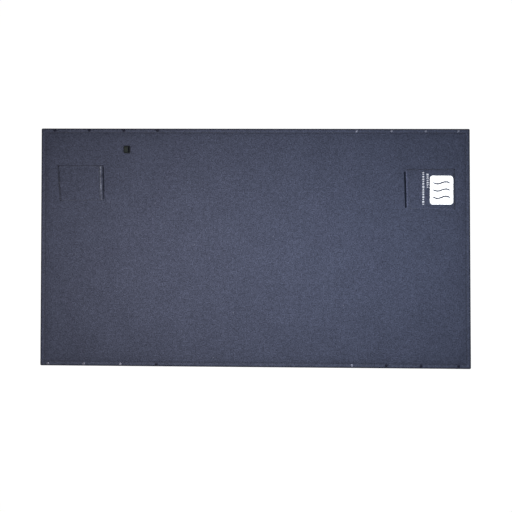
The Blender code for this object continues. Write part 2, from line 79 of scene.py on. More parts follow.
SNAP_PLACES = [centre(n + "_cap") for n in SNAPS] + [centre(n + "_stud") for n in STUDS]


# ---- materials
def new_material(name, colour, roughness, metallic=0.0, sheen=0.0, specular=0.5):
    material = bpy.data.materials.new(name)
    material.use_nodes = True
    tree = material.node_tree
    shader = tree.nodes["Principled BSDF"]
    put(shader, Base_Color=(*colour, 1.0), Roughness=roughness, Metallic=metallic)
    put(shader, Sheen_Weight=sheen, Specular_IOR_Level=specular)
    return material, tree, shader


def put(made, **inputs):
    """Sets a node's inputs by name, with _ for a space."""
    for key, value in inputs.items():
        made.inputs[key.replace("_", " ")].default_value = value
    return made


def node(tree, kind, **inputs):
    return put(tree.nodes.new("ShaderNode" + kind), **inputs)


def join(output, target):
    target.id_data.links.new(output, target)


def noise(tree, vector, scale, detail=2.0, roughness=0.5):
    made = node(tree, "TexNoise", Scale=scale, Detail=detail, Roughness=roughness)
    join(vector, made.inputs["Vector"])
    return made.outputs["Fac"]


def spread(tree, value, low, high, at_low=0.0, at_high=1.0):
    """The value mapped from at_low..at_high to low..high, and held inside them."""
    made = node(tree, "MapRange")
    for socket, number in zip(made.inputs[1:5], (at_low, at_high, low, high)):
        socket.default_value = number
    join(value, made.inputs[0])
    return made.outputs[0]


def maths(tree, operation, first, second):
    made = node(tree, "Math")
    made.operation = operation
    for socket, value in zip(made.inputs, (first, second)):
        if isinstance(value, (int, float)):
            socket.default_value = value
        else:
            join(value, socket)
    return made.outputs[0]


def product(tree, *values):
    made = values[0]
    for value in values[1:]:
        made = maths(tree, "MULTIPLY", made, value)
    return made


def shade(tree, shader, colour, factor):
    """Base colour = colour times the factor."""
    made = node(tree, "VectorMath")
    made.operation = "SCALE"
    made.inputs[0].default_value = colour
    join(factor, made.inputs["Scale"])
    join(made.outputs[0], shader.inputs["Base Color"])
    return made.outputs[0]


def mix(tree, factor, first, second):
    made = node(tree, "Mix")
    made.data_type = "RGBA"
    join(factor, made.inputs[0])
    for socket, value in zip((made.inputs[6], made.inputs[7]), (first, second)):
        if isinstance(value, tuple):
            socket.default_value = (*value, 1.0)
        else:
            join(value, socket)
    return made.outputs[2]


def bump(tree, shader, height, strength, distance):
    made = node(tree, "Bump", Strength=strength, Distance=distance)
    join(height, made.inputs["Height"])
    join(made.outputs[0], shader.inputs["Normal"])


def coordinates(tree, uv=True):
    return node(tree, "UVMap").outputs[0] if uv else node(tree, "TexCoord").outputs["Object"]


def fleece(name, colour, mottling=0.62, lint=True):
    """Brushed polar fleece: a short dense pile of fine fibres, blotchy at a few millimetres, with light lint.

    The mesh's "shade" attribute paints shade and highlights into it: painted shade along edges, seams and
    pocket mouths, and painted highlights on hems and lips.
    """
    material, tree, shader = new_material(name, colour, 0.95, sheen=0.06, specular=0.05)
    put(shader, Sheen_Tint=(0.55, 0.60, 0.78, 1.0))
    uv = coordinates(tree)
    blotch = spread(tree, noise(tree, uv, 11.0, 2.0), 0.94, 1.06, 0.3, 0.7)
    patch = spread(tree, noise(tree, uv, 75.0, 2.0), 0.84, 1.16, 0.25, 0.75)
    mottle = noise(tree, uv, 230.0, 3.0, 0.6)
    pile = noise(tree, uv, 1100.0, 3.0, 0.6)
    fibre = noise(tree, uv, 3000.0, 4.0, 0.75)
    mottled = spread(tree, mottle, 1.0 - mottling, 1.0 + mottling, 0.22, 0.78)
    piled = spread(tree, pile, 0.72, 1.28, 0.30, 0.70)
    combed = spread(tree, fibre, 0.60, 1.40, 0.30, 0.70)
    # painted shade and highlights, read from the mesh's "shade" attribute and multiplied into the colour
    wear_and_painted_shade = node(tree, "Attribute")
    wear_and_painted_shade.attribute_name = "shade"
    shaded = maths(tree, "ADD", wear_and_painted_shade.outputs["Fac"], 1.0)
    base = shade(tree, shader, colour, product(tree, blotch, patch, mottled, piled, combed, shaded))
    if lint:
        cells = node(tree, "TexVoronoi", Scale=30.0, Randomness=1.0)
        join(uv, cells.inputs["Vector"])
        near = spread(tree, cells.outputs["Distance"], 1.0, 0.0, 0.015, 0.06)
        split = node(tree, "SeparateColor")
        join(cells.outputs["Color"], split.inputs[0])
        chosen = maths(tree, "GREATER_THAN", split.outputs[0], 0.92)
        fleck = product(tree, near, chosen, 0.30)
        base = mix(tree, fleck, base, (0.26, 0.27, 0.31))
        join(base, shader.inputs["Base Color"])
    height = maths(tree, "ADD", maths(tree, "MULTIPLY", mottle, 1.2), pile)
    height = maths(tree, "ADD", height, maths(tree, "MULTIPLY", fibre, 0.5))
    bump(tree, shader, height, 0.55, 0.0009)
    return material


def plastic(name, colour, roughness, grain=900.0, depth=0.00006, specular=0.5):
    """Moulded plastic or rubber: a fine even grain, slightly uneven in tone."""
    material, tree, shader = new_material(name, colour, roughness, specular=specular)
    place = coordinates(tree, uv=False)
    speckle = noise(tree, place, grain, 3.0)
    rough = spread(tree, speckle, roughness - 0.08, roughness + 0.08, 0.3, 0.7)
    shade(tree, shader, colour, spread(tree, noise(tree, place, 160.0), 0.90, 1.10, 0.3, 0.7))
    join(rough, shader.inputs["Roughness"])
    bump(tree, shader, speckle, 0.5, depth)
    return material


def metal(name, colour, roughness):
    """Plated metal, dulled in small patches."""
    material, tree, shader = new_material(name, colour, roughness, metallic=1.0)
    wear = noise(tree, coordinates(tree, uv=False), 700.0, 4.0)
    rough = spread(tree, wear, roughness - 0.1, roughness + 0.12, 0.3, 0.7)
    shade(tree, shader, colour, spread(tree, wear, 0.82, 1.08, 0.3, 0.7))
    join(rough, shader.inputs["Roughness"])
    bump(tree, shader, wear, 0.3, 0.00003)
    return material


def thread(name, colour):
    """Twisted sewing thread."""
    material, tree, shader = new_material(name, colour, 0.7, sheen=0.3)
    place = coordinates(tree, uv=False)
    twist = noise(tree, place, 2500.0, 2.0)
    shade(tree, shader, colour, spread(tree, twist, 0.75, 1.25, 0.3, 0.7))
    bump(tree, shader, twist, 0.6, 0.00015)
    return material


def fibres(name, colour, scale, spread_by=0.2, depth=0.0004):
    """Wadding and non-woven cloth: stretched, tangled fibres."""
    material, tree, shader = new_material(name, colour, 0.9, sheen=0.2)
    uv = coordinates(tree)
    mapping = node(tree, "Mapping", Scale=(1.0, 0.25, 1.0), Rotation=(0.0, 0.0, 0.6))
    join(uv, mapping.inputs["Vector"])
    long_ones = noise(tree, mapping.outputs[0], scale, 5.0, 0.7)
    tangled = noise(tree, uv, scale * 0.6, 5.0, 0.7)
    strands = maths(tree, "ADD", long_ones, tangled)
    shade(tree, shader, colour, spread(tree, strands, 1 - spread_by, 1 + spread_by, 0.7, 1.3))
    bump(tree, shader, strands, 0.6, depth)
    return material


def printed(name, colour):
    """Screen print on fleece: matt ink that follows the pile, worn thin in tiny spots."""
    material, tree, shader = new_material(name, colour, 0.75)
    uv = coordinates(tree)
    pile = noise(tree, uv, 900.0, 3.0)
    thin = spread(tree, noise(tree, uv, 420.0, 4.0, 0.7), 0.0, 1.0, 0.68, 0.74)
    inked = shade(tree, shader, colour, spread(tree, pile, 0.93, 1.05, 0.3, 0.7))
    wear_and_painted_shade = tuple(0.45 * c for c in colour)
    join(mix(tree, thin, inked, wear_and_painted_shade), shader.inputs["Base Color"])
    bump(tree, shader, pile, 0.5, 0.0003)
    return material


NAVY = (0.0335, 0.0380, 0.0600)
FLEECE = fleece("fleece_navy", NAVY)
POCKET_FLEECE = fleece("pocket_fleece_navy", NAVY)
# painted highlight: lighter fleece for the sheen on the power pocket's turned hem
HEM_HIGHLIGHT_FLEECE = fleece("hem_tape_light", (0.085, 0.094, 0.122), mottling=0.70, lint=False)
# painted shadow: near-black fleece laid in the pockets' open mouths
MOUTH_SHADOW_FLEECE = fleece("facing_dark", (0.0055, 0.0070, 0.0130), mottling=0.2, lint=False)
THREAD = thread("topstitch_thread", (0.026, 0.030, 0.048))
WADDING = fibres("wadding_fibre", (0.72, 0.72, 0.70), 260.0)
SCRIM = fibres("scrim_nonwoven", (0.30, 0.30, 0.31), 600.0, depth=0.00015)
SHELL = plastic("controller_moulded", (0.0095, 0.0115, 0.0125), 0.62, specular=0.05)
KEY = plastic("controller_key_rubber", (0.0165, 0.0200, 0.0190), 0.75, grain=1600.0, specular=0.05)
BASE = plastic("controller_base_moulded", (0.0105, 0.0130, 0.0150), 0.6, specular=0.1)
LENS = plastic("light_lens_smoked", (0.0010, 0.0018, 0.0050), 0.34, depth=0.00001, specular=0.05)
BOARD = plastic("board_solder_mask", (0.02, 0.10, 0.04), 0.4, grain=400.0)
INLET = plastic("inlet_moulded", (0.020, 0.022, 0.024), 0.45)
WIRE = plastic("heating_wire_sleeve", (0.03, 0.03, 0.035), 0.55)
LEAD = plastic("lead_silicone", (0.25, 0.02, 0.02), 0.5)
CUTOFF = plastic("cutoff_resin", (0.55, 0.50, 0.42), 0.5)
CAP = plastic("snap_cap_enamel", (0.0068, 0.0078, 0.0165), 0.45, specular=0.1)
STEEL = metal("snap_nickel", (0.32, 0.32, 0.34), 0.42)
AGED = metal("snap_aged_nickel", (0.165, 0.172, 0.225), 0.50)
WHITE_PRINT = printed("print_white_ink", (0.95, 0.95, 0.95))
GREY_PRINT = printed("print_grey_ink", (0.38, 0.39, 0.43))


# ---- mesh helpers
def new_object(name, points, faces, material, shades=None):
    mesh = bpy.data.meshes.new(name)
    mesh.from_pydata([tuple(map(float, p)) for p in points], [], [tuple(map(int, f)) for f in faces])
    mesh.materials.append(material)
    mesh.polygons.foreach_set("use_smooth", [True] * len(mesh.polygons))
    layer = mesh.uv_layers.new(name="metres")
    index = np.zeros(len(mesh.loops), np.int32)
    mesh.loops.foreach_get("vertex_index", index)
    flat = np.asarray(points, float)[:, :2]
    layer.data.foreach_set("uv", flat[index].astype(np.float32).ravel())
    if shades is not None:
        mesh.attributes.new("shade", "FLOAT", "POINT").data.foreach_set("value", np.float32(shades))
    mesh.update()
    obj = bpy.data.objects.new(name, mesh)
    bpy.context.scene.collection.objects.link(obj)
    return obj


def grid_faces(columns, rows, start=0, flip=False):
    i, j = np.meshgrid(np.arange(columns - 1), np.arange(rows - 1), indexing="ij")
    a = start + (i * rows + j).ravel()
    quads = np.stack([a, a + rows, a + rows + 1, a + 1], 1)
    return quads[:, ::-1] if flip else quads


def closed_faces(columns, rows, start=0):
    """The faces of a closed sheet whose upper points come first, then as many lower ones."""
    count = columns * rows
    ring = [(i, 0) for i in range(columns)]
    ring += [(columns - 1, j) for j in range(1, rows)]
    ring += [(i, rows - 1) for i in range(columns - 2, -1, -1)]
    ring += [(0, j) for j in range(rows - 2, 0, -1)]
    rim = np.array([start + i * rows + j for i, j in ring])
    after = np.roll(rim, -1)
    sides = np.stack([rim, rim + count, after + count, after], 1)
    upper = grid_faces(columns, rows, start)
    return np.concatenate([upper, grid_faces(columns, rows, start + count, True), sides])


def closed_sheet(name, plan, top, bottom, material, shades=0.0):
    """A closed cloth between two heights over the same plan, a (columns, rows, 2) array of points."""
    upper = np.concatenate([plan, top[..., None]], 2).reshape(-1, 3)
    lower = np.concatenate([plan, bottom[..., None]], 2).reshape(-1, 3)
    faces = closed_faces(*top.shape)
    shades = np.tile((shades + np.zeros(top.shape)).ravel(), 2)
    return new_object(name, np.concatenate([upper, lower]), faces, material, shades)


def ring_quads(pairs, sides):
    """Quads between pairs of numbered rings, each of as many sides."""
    quads = []
    for a, b in pairs:
        for k in range(sides):
            n = (k + 1) % sides
            quads.append((a * sides + k, a * sides + n, b * sides + n, b * sides + k))
    return quads


def tube_faces(rings, sides):
    """The faces of a row of rings, closed at both ends."""
    last = (rings - 1) * sides
    caps = [tuple(range(sides))[::-1], tuple(range(last, last + sides))]
    return ring_quads([(i, i + 1) for i in range(rings - 1)], sides) + caps


def stands_for(obj, body, slot, *nodes):
    """The piece replaces CAD nodes and rides on a body; its slot is not used."""
    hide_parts(*nodes)
    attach(obj, body)


def smoothstep(t):
    t = np.clip(t, 0.0, 1.0)
    return t * t * (3 - 2 * t)


def through(distance, table):
    """A smooth line through (distance, height) pairs, level at each of them."""
    at, value = np.array(table, float).T
    index = np.clip(np.searchsorted(at, distance, side="right") - 1, 0, len(at) - 2)
    share = smoothstep((distance - at[index]) / (at[index + 1] - at[index]))
    return value[index] + (value[index + 1] - value[index]) * share


def ripple(x, y, wavelengths, seed, count=7):
    """Seeded waves in all directions, between about -1 and 1."""
    draw = np.random.default_rng(seed)
    total = np.zeros(np.broadcast(x, y).shape)
    for _ in range(count):
        angle, phase = draw.uniform(0, 2 * math.pi, 2)
        turn = 2 * math.pi / draw.uniform(*wavelengths)
        total += np.sin(turn * (x * math.cos(angle) + y * math.sin(angle)) + phase)
    return total / math.sqrt(count) / 1.4


def capsule_mesh(centres, tangents, length, radius, squash=0.8, sides=6):
    """Points and faces of many short rounded stitches lying along their tangents.

    Each is a ring of sides at every share of its half length, and its ends dip into the cloth.
    """
    share = np.array([-1.0, -0.82, -0.45, 0.0, 0.45, 0.82, 1.0])
    width = np.array([0.12, 0.62, 0.95, 1.0, 0.95, 0.62, 0.12])
    end_dip = 0.9
    drop = -end_dip * (np.abs(share) ** 3)
    turns = 2 * math.pi * np.arange(sides) / sides
    local = np.array([
        (share[s], width[s] * math.cos(turn), width[s] * math.sin(turn), drop[s])
        for s in range(len(share)) for turn in turns
    ])
    stitch_faces = tube_faces(len(share), sides)
    points, faces = [], []
    for number, (place, along) in enumerate(zip(centres, tangents)):
        along = np.asarray(along, float) / np.linalg.norm(along)
        side = np.array([-along[1], along[0], 0.0])
        side /= np.linalg.norm(side)
        lift = np.cross(along, side)
        made = (
            np.asarray(place, float)
            + np.outer(local[:, 0] * length / 2, along)
            + np.outer(local[:, 1] * radius, side)
            + np.outer((local[:, 2] * squash + local[:, 3]) * radius, lift)
        )
        points.append(made)
        start = number * len(local)
        faces += [tuple(start + v for v in f) for f in stitch_faces]
    return np.concatenate(points), faces


def seam_line(name, paths, surface, pitch, length, radius, lift=0.0, up=1.0, gap_near=()):
    """A row of stitches along plan paths, each lying on the surface height there.

    gap_near holds (x, y, reach) places to leave out, and up is -1 under the blanket.
    """
    centres, tangents = [], []
    for path in paths:
        path = np.asarray(path, float)
        legs = np.linalg.norm(np.diff(path, axis=0), axis=1)
        reach = np.concatenate([[0], np.cumsum(legs)])
        for run in np.arange(pitch / 2, reach[-1], pitch):
            ends = [
                [np.interp(run + offset, reach, path[:, axis]) for axis in (0, 1)]
                for offset in (-length / 2, length / 2)
            ]
            middle = (np.array(ends[0]) + np.array(ends[1])) / 2
            if any(np.hypot(*(middle - near[:2])) < near[2] for near in gap_near):
                continue
            height = [float(surface(*end)) for end in ends]
            rise = float(surface(*middle)) + lift * up
            centres.append((*middle, rise))
            tangents.append((ends[1][0] - ends[0][0], ends[1][1] - ends[0][1], height[1] - height[0]))
    points, faces = capsule_mesh(centres, tangents, length, radius * up)
    if up < 0:
        faces = [f[::-1] for f in faces]
    return new_object(name, points, faces, THREAD)


# ---- blanket covers
ROLLED_LINES = (0, 0.12, 0.45, 1.0, 1.7, 2.6, 4.0, 5.5, 7.0, 8.5, 10, 11.2)
GROOVE_LINES = (12.2, 13, 13.8, 14.8, 16.2, 18, 20, 22.5, 25.5, 29, 34)
LINE_MARGIN, LINE_APART = 5 * MM, 0.4 * MM


def lines(low, high, step, extra=()):
    """Grid lines, dense in both hems and round each extra place, which has offsets in millimetres."""
    edge = np.array(ROLLED_LINES + GROOVE_LINES) * MM
    inner = np.linspace(low + edge[-1], high - edge[-1], round((high - low - 2 * edge[-1]) / step) + 1)
    found = np.concatenate([low + edge, inner[1:-1], high - edge[::-1]])
    for place, offsets in extra:
        for offset in offsets:
            at = place + offset * MM
            inside = low + LINE_MARGIN < at < high - LINE_MARGIN
            if inside and np.abs(found - at).min() > LINE_APART:
                found = np.sort(np.append(found, at))
    return found


def edge_distance(x, y):
    return np.minimum(np.minimum(x - X_LOW, X_HIGH - x), np.minimum(y - Y_LOW, Y_HIGH - y))


def rounded_plan(x, y):
    """The plan with its corners rounded and its slight skew."""
    px, py = x.copy(), y.copy()
    for sx, cx in ((-1, X_LOW + CORNER), (1, X_HIGH - CORNER)):
        for sy, cy in ((-1, Y_LOW + CORNER), (1, Y_HIGH - CORNER)):
            u, v = (x - cx) * sx, (y - cy) * sy
            inside = (u > 0) & (v > 0)
            scale = np.where(inside, np.maximum(u, v) / np.maximum(np.hypot(u, v), 1e-9), 1.0)
            px = np.where(inside, cx + sx * u * scale, px)
            py = np.where(inside, cy + sy * v * scale, py)
    return px + SKEW * py * np.clip(np.abs(px) / SKEW_REACH, 0, 1), py


def near_snaps(x, y, inner, outer):
    """1 at the press studs, fading to 0 between inner and outer metres from them."""
    nearest = np.full(np.broadcast(x, y).shape, 1.0)
    for place in SNAP_PLACES:
        nearest = np.minimum(nearest, np.hypot(x - place.x, y - place.y))
    return 1.0 - smoothstep((nearest - inner) / (outer - inner))


def off_box(x, y, low, high):
    """How far a place is from a box in plan."""
    dx = np.maximum(np.maximum(low.x - x, x - high.x), 0)
    dy = np.maximum(np.maximum(low.y - y, y - high.y), 0)
    return np.hypot(dx, dy)


def box_mask(x, y, nodes, margin, fade):
    """0 over the nodes' boxes and their margin, rising to 1."""
    mask = np.ones(np.broadcast(x, y).shape)
    for name in nodes:
        mask = np.minimum(mask, smoothstep((off_box(x, y, *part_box(name)) - margin) / fade))
    return mask


FAR = 1.0  # metres, past the last place of any table of distances
ROLL = 2.6 * MM
STITCH_IN = 13.0 * MM
HEM_FLAT, HEM_TOP, HEM_SEAT, HEM_WAVE = 6 * MM, 6.55 * MM, 5.75 * MM, 0.35 * MM
BACK_TOP, BACK_PRESS, BACK_GROOVE = 0.7 * MM, 0.9 * MM, 2.0 * MM
PRESSED_IN, PRESSED_OUT = 6 * MM, 11 * MM
GROOVE = 5.0 * MM
FRONT_RISE = ((0, GROOVE), (STITCH_IN, GROOVE), (19 * MM, 7.5 * MM), (28 * MM, FACE), (FAR, FACE))
BACK_FALL = ((0, 0.0), (HEM_FLAT, 0.0), (STITCH_IN, BACK_GROOVE), (27 * MM, 0.0), (FAR, 0.0))
CROWN_SHARE = ((0, 1.0), (HEM_FLAT, 1.0), (STITCH_IN, 0.0), (FAR, 0.0))
BUCKLE, SWELL = 1.1 * MM, 3.2 * MM  # the cover's small waves, and its broad ones
SWELL_FROM, SWELL_FADE = 0.06, 0.30  # the broad ones stay off the fold
CLOTH, THINNEST = 2 * MM, 0.2 * MM
# Painted shade and light in the fleece at distances in millimetres from its edge: painted shade on the rolled
# rim, a faint painted highlight on the hem's crown, then painted shade in the stitched groove
PAINTED_RIM_SHADE = (
    (0, -0.50), (3.4, -0.44), (6.2, -0.03), (8, 0.03), (10.5, 0.0),
    (12.5, -0.14), (17, 0.02), (24, 0), (999, 0),
)


def rolled(distance, radius):
    """0 at an edge, rising along a quarter circle to 1 at the radius."""
    return np.sqrt(np.clip(1 - (1 - np.minimum(distance / radius, 1)) ** 2, 0, 1))


def front_height(x, y):
    """The upper face of the front cover: hem, stitched groove, and a low swell between the pieces on it."""
    d = edge_distance(x, y)
    crown = HEM_TOP - (HEM_TOP - HEM_SEAT) * near_snaps(x, y, PRESSED_IN, PRESSED_OUT)
    crown = crown + HEM_WAVE * ripple(x, y, (0.05, 0.11), 3) * (1 - near_snaps(x, y, 8 * MM, 16 * MM))
    height = through(d, FRONT_RISE) + through(d, CROWN_SHARE) * (crown - GROOVE)
    free = box_mask(x, y, ("power_pocket", "hand_pocket", "controller_base"), 4 * MM, 30 * MM)
    free = free * smoothstep((d - 16 * MM) / (30 * MM))
    swell = BUCKLE * (0.75 + ripple(x, y, (0.10, 0.36), 5))
    rise = np.clip(SWELL * (0.45 + ripple(x, y, (0.34, 0.70), 6)), 0, SWELL * 1.5)
    swell = swell + rise * smoothstep((np.abs(x) - SWELL_FROM) / SWELL_FADE)
    height = height + free * np.maximum(swell, 0.25 * swell)
    return SEAM_FRONT + (height - SEAM_FRONT) * rolled(d, ROLL)


def back_height(x, y):
    """The lower face of the back cover, which lies on the floor inside its hem."""
    d = edge_distance(x, y)
    crown = BACK_TOP + BACK_PRESS * near_snaps(x, y, PRESSED_IN, PRESSED_OUT)
    height = through(d, BACK_FALL) + crown * through(d, CROWN_SHARE)
    return SEAM_BACK + (height - SEAM_BACK) * rolled(d, ROLL)


def covers():
    """The front and the back cover, each one closed cloth from end to end."""
    snap_offsets = (-9, -6, -3, 0, 3, 6, 9)
    fold = [(0.0, np.arange(-9, 9.5, 1.0))]
    xs = lines(X_LOW, X_HIGH, 10 * MM, fold + [(p.x, snap_offsets) for p in SNAP_PLACES])
    ys = lines(Y_LOW, Y_HIGH, 10 * MM)
    x, y = np.meshgrid(xs, ys, indexing="ij")
    plan = np.stack(rounded_plan(x, y), 2)
    d = edge_distance(x, y)
    inward = smoothstep((d - 17 * MM) / (10 * MM))
    # painted shade on the rolled rim and in the stitched groove, with a faint painted highlight between, for
    # both covers
    rim = through(d, [(at * MM, value) for at, value in PAINTED_RIM_SHADE])
    under = SEAM_FRONT + (FACE - CLOTH - SEAM_FRONT) * inward
    top = np.maximum(front_height(x, y), under + THINNEST)
    front = closed_sheet("front_fleece", plan, top, under, FLEECE, rim)
    over = CLOTH + (SEAM_BACK - CLOTH) * (1 - inward)
    bottom = np.minimum(back_height(x, y), over - THINNEST)
    back = closed_sheet("back_fleece", plan, over, bottom, FLEECE, rim)
    return front, back


def bend_at_fold(obj):
    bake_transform(obj)


front_fleece, back_fleece = covers()
for cover, nodes in (
    (front_fleece, ("front_cover_left", "front_cover_right")),
    (back_fleece, ("back_cover_left", "back_cover_right")),
):
    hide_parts(*nodes)
    bend_at_fold(cover)


def skewed(obj):
    """Moves a finished mesh by the covers' skew."""
    for vertex in obj.data.vertices:
        vertex.co.x += SKEW * vertex.co.y * min(abs(vertex.co.x) / SKEW_REACH, 1.0)


def topstitch(name, surface, up=1.0):
    """The hem's stitching round all four sides, left out round the press studs."""
    xs, ys = (X_LOW + STITCH_IN, X_HIGH - STITCH_IN), (Y_LOW + STITCH_IN, Y_HIGH - STITCH_IN)
    corners = [(xs[0], ys[0]), (xs[1], ys[0]), (xs[1], ys[1]), (xs[0], ys[1])]
    paths = [(corners[i], corners[(i + 1) % 4]) for i in range(4)]
    clear = [(place.x, place.y, 6.3 * MM) for place in SNAP_PLACES]
    pitch, length, radius = 3.8 * MM, 2.9 * MM, 0.36 * MM
    made = seam_line(name, paths, surface, pitch, length, radius, lift=0.22 * MM, up=up, gap_near=clear)
    skewed(made)
    bend_at_fold(made)
    return made


topstitch_front = topstitch("topstitch_front", front_height)
topstitch_back = topstitch("topstitch_back", back_height, up=-1.0)


# ---- inner layers
def layer(name, nodes, material, wave):
    """One inner layer in a single sheet from end to end, with slightly uneven cut edges."""
    low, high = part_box(nodes[0])
    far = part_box(nodes[1])[1]
    xs = np.unique(np.concatenate([np.linspace(low.x, far.x, 90), np.arange(-9, 9.5, 1.0) * MM]))
    ys = np.linspace(low.y, high.y, 44)
    x, y = np.meshgrid(xs, ys, indexing="ij")
    plan = np.stack([x * (1 - 0.001 * (1 + ripple(y, y, (0.06, 0.2), 8))), y], 2)
    lump = wave * ripple(x, y, (0.03, 0.09), 9)
    made = closed_sheet(name, plan, high.z - wave + lump, low.z + 0 * lump, material)
    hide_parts(*nodes)
    bend_at_fold(made)
    return made, (far.x - low.x, high.y - low.y)


WADDING_WAVE, SCRIM_WAVE = 0.15 * MM, 0.02 * MM
wadding_sheet, wadding_flat = layer("wadding_sheet", ("wadding_left", "wadding_right"), WADDING, WADDING_WAVE)
scrim_nodes = ("heater_scrim_left", "heater_scrim_right")
scrim_sheet, scrim_flat = layer("scrim_sheet", scrim_nodes, SCRIM, SCRIM_WAVE)


def tube(name, path, radius, material, sides=8):
    path = np.asarray(path, float)
    ahead = np.gradient(path, axis=0)
    ahead /= np.linalg.norm(ahead, axis=1)[:, None]
    side = np.cross(ahead, (0, 0, 1.0))
    side /= np.linalg.norm(side, axis=1)[:, None]
    lift = np.cross(side, ahead)
    turns = 2 * math.pi * np.arange(sides) / sides
    points = np.concatenate([
        p + radius * (np.outer(np.cos(turns), s) + np.outer(np.sin(turns), u))
        for p, s, u in zip(path, side, lift)
    ])
    return new_object(name, points, tube_faces(len(path), sides), material)


def supply_lead():
    """One lead through both halves: up from the inlet, round a bend and along to the far heater."""
    left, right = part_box("supply_lead_left"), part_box("supply_lead_right")
    radius = (left[1].z - left[0].z) / 2
    z = (left[0].z + left[1].z) / 2
    x, y = left[0].x + radius, left[1].y - radius
    bend = 10 * MM
    turns = np.linspace(math.pi, math.pi / 2, 9)
    arc = [(x + bend + bend * math.cos(t), y - bend + bend * math.sin(t), z) for t in turns]
    path = [(x, v, z) for v in np.linspace(left[0].y, y - bend - 5 * MM, 8)] + arc
    runs = np.unique(np.concatenate([
        np.linspace(x + bend + 10 * MM, -12 * MM, 40), np.arange(-10, 10.5, 1.0) * MM,
        np.linspace(12 * MM, right[1].x, 40),
    ]))
    path += [(u, y, z) for u in runs]
    made = tube("supply_lead", path, radius, LEAD)
    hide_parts("supply_lead_left", "supply_lead_right")
    bend_at_fold(made)


supply_lead()


# ---- patch pockets
POCKET_GAP, POCKET_THICK, POCKET_CLOTH = 0.3 * MM, 1.5 * MM, 1.4 * MM
SEWN_EDGE, EDGE_STEP = 3.2 * MM, 1.4 * MM
BILLOW, RIPPLED = 4.6 * MM, 0.22 * MM
BULGE_OVER, BULGE_FADE = 1.9 * MM, 9 * MM
HEM_EXTRA, HEM_RISE, HEM_DIP = 1.3 * MM, 0.25 * MM, 0.45 * MM
PAINTED_WRINKLE_SHADE = 0.09  # painted shade and light of small wrinkles on the pocket cloth
PAINTED_STRIP_SHADE = 500.0  # painted light and shade of a mouth strip's lighter and darker stretches, for each metre of its wobble


class Pocket:
    """A patch pocket's plan, from its mouth (u = 0) to its closed end (u = 1) and up its width (v).

    The shade tables give how much lighter or darker the cloth is painted, as painted shade and
    painted highlights, at distances in from the mouth, the closed end, the lower side and the upper side.
    """

    def __init__(self, name, mouth_high, offsets, shades, lump=None):
        self.low, self.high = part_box(name)
        self.mouth_high = mouth_high
        self.offsets = np.array(offsets, float).reshape(2, 2, 2) * MM
        self.shades = shades
        self.lump = lump
        self.long = self.high.x - self.low.x
        self.wide = self.high.y - self.low.y

    def plan(self, u, v):
        x = np.where(self.mouth_high, self.high.x - u * self.long, self.low.x + u * self.long)
        y = self.low.y + v * self.wide
        o = self.offsets
        shift = [
            (1 - u) * ((1 - v) * o[0, 0, k] + v * o[0, 1, k]) + u * ((1 - v) * o[1, 0, k] + v * o[1, 1, k])
            for k in (0, 1)
        ]
        return x + shift[0], y + shift[1]

    def shade(self, u, v):
        distances = (u * self.long, (1 - u) * self.long, v * self.wide, (1 - v) * self.wide)
        # painted shade along seams and under the power pocket's mouth, painted highlights on the hand
        # pocket's lip and beside the upper seams
        seams = 0.0
        for distance, table in zip(distances, self.shades):
            seams = seams + through(distance, [(at * MM, value) for at, value in (*table, (999, 0.0))])
        # plus painted shade and light of small wrinkles
        return seams + PAINTED_WRINKLE_SHADE * ripple(u * self.long, v * self.wide, (0.009, 0.030), 23)

    def share(self, x, y):
        """u and v of a place, near enough for heights."""
        u = (self.high.x - x) / self.long if self.mouth_high else (x - self.low.x) / self.long
        return u, (y - self.low.y) / self.wide

    def height(self, x, y):
        u, v = self.share(x, y)
        return self.rise(u, v)

    def rise(self, u, v):
        """The upper face of the cloth: flat where it is sewn, fuller towards the mouth and over the lump."""
        flat = FACE + POCKET_GAP + POCKET_THICK
        side = np.minimum(v, 1 - v) * self.wide
        end = (1 - u) * self.long
        lift_side = 1 - np.exp(-np.maximum(side - SEWN_EDGE, 0) / (13 * MM))
        lift_end = 1 - np.exp(-np.maximum(end - SEWN_EDGE, 0) / (16 * MM))
        billow = BILLOW * lift_side * lift_end
        billow = billow * (0.80 + 0.20 * smoothstep(1 - u * self.long / 0.05))
        billow += RIPPLED * ripple(u * self.long, v * self.wide, (0.03, 0.08), 21) * lift_side * lift_end
        height = flat + billow
        if self.lump is not None:
            x, y = self.plan(np.asarray(u, float), np.asarray(v, float))
            bulge = self.lump[1].z + BULGE_OVER
            share = 1 - smoothstep(off_box(x, y, *self.lump) / BULGE_FADE)
            height = height + np.maximum(bulge - height, 0) * share
        step = smoothstep(np.minimum(np.minimum(side, end), EDGE_STEP) / EDGE_STEP)
        return height - 1.0 * MM * (1 - step)


